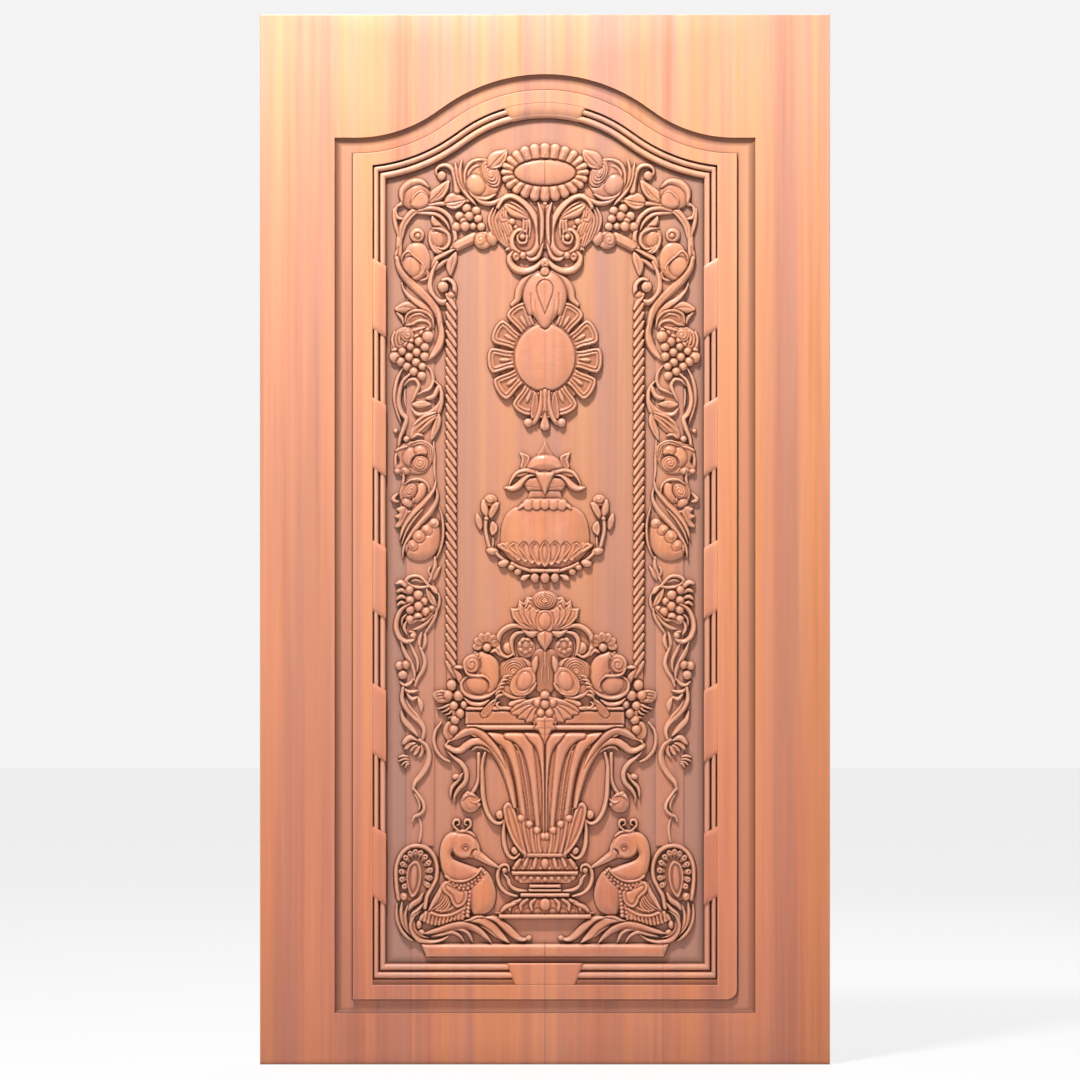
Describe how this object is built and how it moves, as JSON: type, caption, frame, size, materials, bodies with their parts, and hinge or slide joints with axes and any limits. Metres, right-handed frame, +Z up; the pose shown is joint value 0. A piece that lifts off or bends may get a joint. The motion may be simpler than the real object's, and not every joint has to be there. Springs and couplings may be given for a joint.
{
  "type": "carved temple door leaf",
  "caption": "Solid teak door leaf with an arched sunk field carved in relief: urn, pot, medallion, peacocks and flowering vines in a moulded frame.",
  "frame": {"origin": "middle of the leaf's foot: centred between its edges and its faces, at the lowest edge", "axes": "+Z up the leaf; the carved front faces -Y; +X to the right as seen from the front"},
  "size_m": [1.14, 0.045, 2.1],
  "materials": {
    "teak_boards": "oiled, satin",
    "tongue_wood": "sawn, unfinished"
  },
  "bodies": {
    "root": {"left_board": "teak_boards", "centre_left_board": "teak_boards", "centre_right_board": "teak_boards", "right_board": "teak_boards", "left_tongue": "tongue_wood", "centre_tongue": "tongue_wood", "right_tongue": "tongue_wood"}
  },
  "joints": []
}
